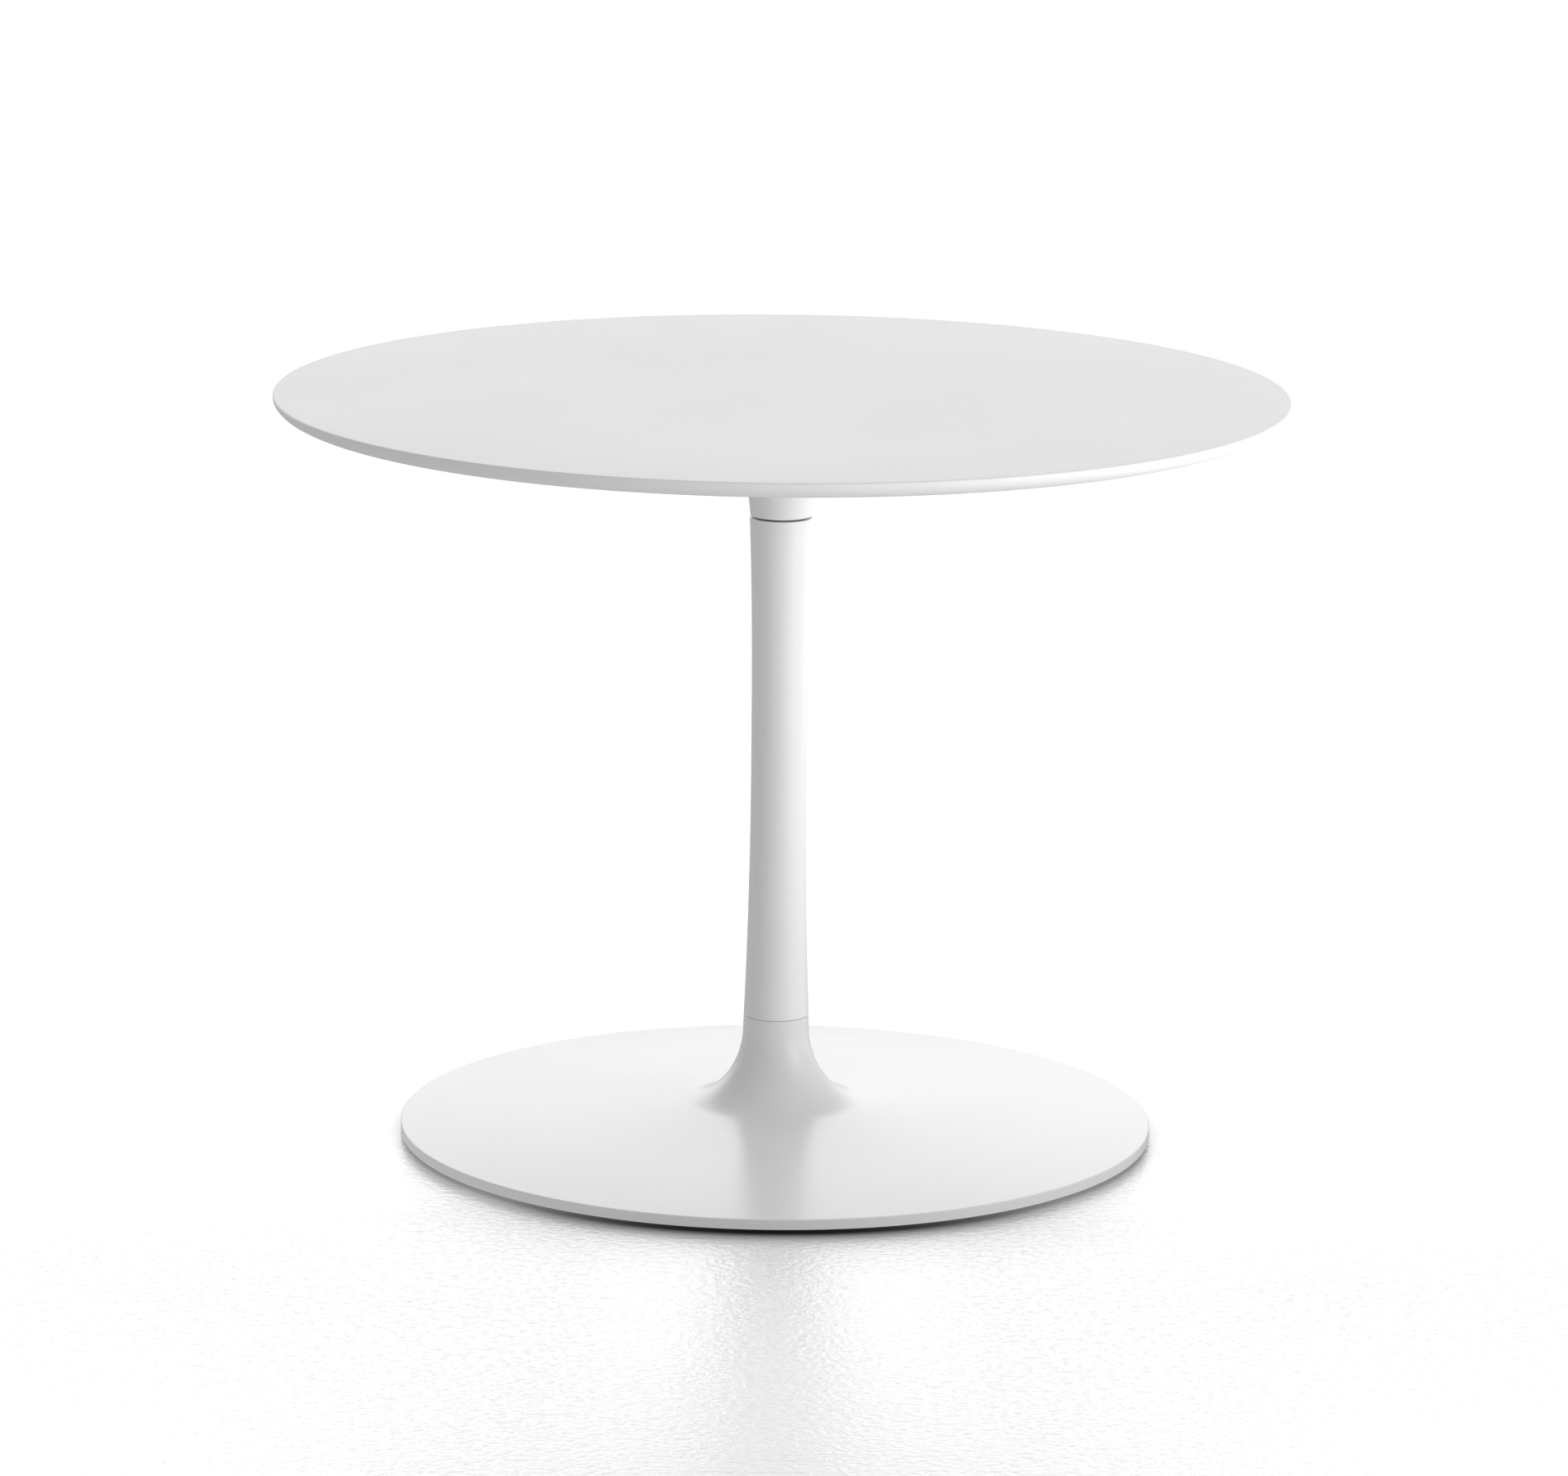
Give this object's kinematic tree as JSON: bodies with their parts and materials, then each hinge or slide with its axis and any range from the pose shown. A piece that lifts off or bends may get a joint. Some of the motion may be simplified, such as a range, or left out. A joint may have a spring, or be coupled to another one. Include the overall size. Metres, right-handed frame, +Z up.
{
  "type": "round pedestal table",
  "caption": "Round pedestal table with a thin white disc top that swivels on a waisted column above a weighted trumpet base on levelling glides.",
  "frame": {"origin": "on the floor, on the column's axis, under the centre of the base", "axes": "+Z up the column's axis; X and Y are level, with the glides on the diagonals between them"},
  "size_m": [0.7999, 0.8, 0.6],
  "materials": {
    "white_lacquered_board": "smooth matt white lacquer on fibreboard",
    "white_enamelled_steel": "satin white powder coat",
    "white_enamelled_aluminium": "satin white powder coat",
    "black_enamelled_steel": "black coating",
    "cast_ballast": "sand-cast, primed",
    "ground_steel": "turned and ground",
    "zinc_steel": "bright zinc plate",
    "spring_steel": "black oxide",
    "bare_aluminium": "turned",
    "grey_acetal": "moulded",
    "black_acetal": "moulded",
    "brass": "turned"
  },
  "bodies": {
    "pedestal": {"thrust_washer": "grey_acetal", "swivel_bush": "black_acetal", "bearing_housing": "bare_aluminium", "column": "white_enamelled_aluminium", "seam_ring": "grey_acetal", "column_foot": "ground_steel", "tie_rod": "zinc_steel", "tie_rod_washer": "zinc_steel", "tie_rod_nut": "zinc_steel", "foot_screws": "zinc_steel", "base_cover": "white_enamelled_steel", "ballast_ring": "cast_ballast", "ballast_screws": "zinc_steel", "base_plate": "black_enamelled_steel", "glide_inserts": "zinc_steel", "access_cap": "black_acetal"},
    "top": {"table_top": "white_lacquered_board", "board_inserts": "brass", "mounting_plate": "white_enamelled_steel", "plate_screws": "zinc_steel", "collar_hub": "white_enamelled_aluminium", "hub_screws": "zinc_steel", "spindle": "ground_steel", "retaining_ring": "spring_steel", "grub_screws": "spring_steel"},
    "glide_pad_1": {"glide_pad_1": "black_acetal"},
    "glide_stem_1": {"glide_stem_1": "zinc_steel"},
    "glide_pad_2": {"glide_pad_2": "black_acetal"},
    "glide_stem_2": {"glide_stem_2": "zinc_steel"},
    "glide_pad_3": {"glide_pad_3": "black_acetal"},
    "glide_stem_3": {"glide_stem_3": "zinc_steel"},
    "glide_pad_4": {"glide_pad_4": "black_acetal"},
    "glide_stem_4": {"glide_stem_4": "zinc_steel"}
  },
  "joints": [
    {"name": "top_swivel", "type": "hinge", "parent": "pedestal", "child": "top", "pos_m": [0, 0, 0.5], "axis": [0, 0, 1], "continuous": true},
    {"name": "glide_1_travel", "type": "slide", "parent": "pedestal", "child": "glide_pad_1", "axis": [0, 0, -1], "range_m": [0, 0.005]},
    {"name": "glide_1_turn", "type": "hinge", "parent": "glide_pad_1", "child": "glide_stem_1", "pos_m": [0.15556, 0.15556, 0.006], "axis": [0, 0, -1], "range_deg": [0, 1440]},
    {"name": "glide_2_travel", "type": "slide", "parent": "pedestal", "child": "glide_pad_2", "axis": [0, 0, -1], "range_m": [0, 0.005]},
    {"name": "glide_2_turn", "type": "hinge", "parent": "glide_pad_2", "child": "glide_stem_2", "pos_m": [-0.15556, 0.15556, 0.006], "axis": [0, 0, -1], "range_deg": [0, 1440]},
    {"name": "glide_3_travel", "type": "slide", "parent": "pedestal", "child": "glide_pad_3", "axis": [0, 0, -1], "range_m": [0, 0.005]},
    {"name": "glide_3_turn", "type": "hinge", "parent": "glide_pad_3", "child": "glide_stem_3", "pos_m": [-0.15556, -0.15556, 0.006], "axis": [0, 0, -1], "range_deg": [0, 1440]},
    {"name": "glide_4_travel", "type": "slide", "parent": "pedestal", "child": "glide_pad_4", "axis": [0, 0, -1], "range_m": [0, 0.005]},
    {"name": "glide_4_turn", "type": "hinge", "parent": "glide_pad_4", "child": "glide_stem_4", "pos_m": [0.15556, -0.15556, 0.006], "axis": [0, 0, -1], "range_deg": [0, 1440]}
  ],
  "couplings": [
    {"joint": "glide_1_turn", "follows": "glide_1_travel", "rad_per_m": 5026.5},
    {"joint": "glide_2_turn", "follows": "glide_2_travel", "rad_per_m": 5026.5},
    {"joint": "glide_3_turn", "follows": "glide_3_travel", "rad_per_m": 5026.5},
    {"joint": "glide_4_turn", "follows": "glide_4_travel", "rad_per_m": 5026.5}
  ]
}
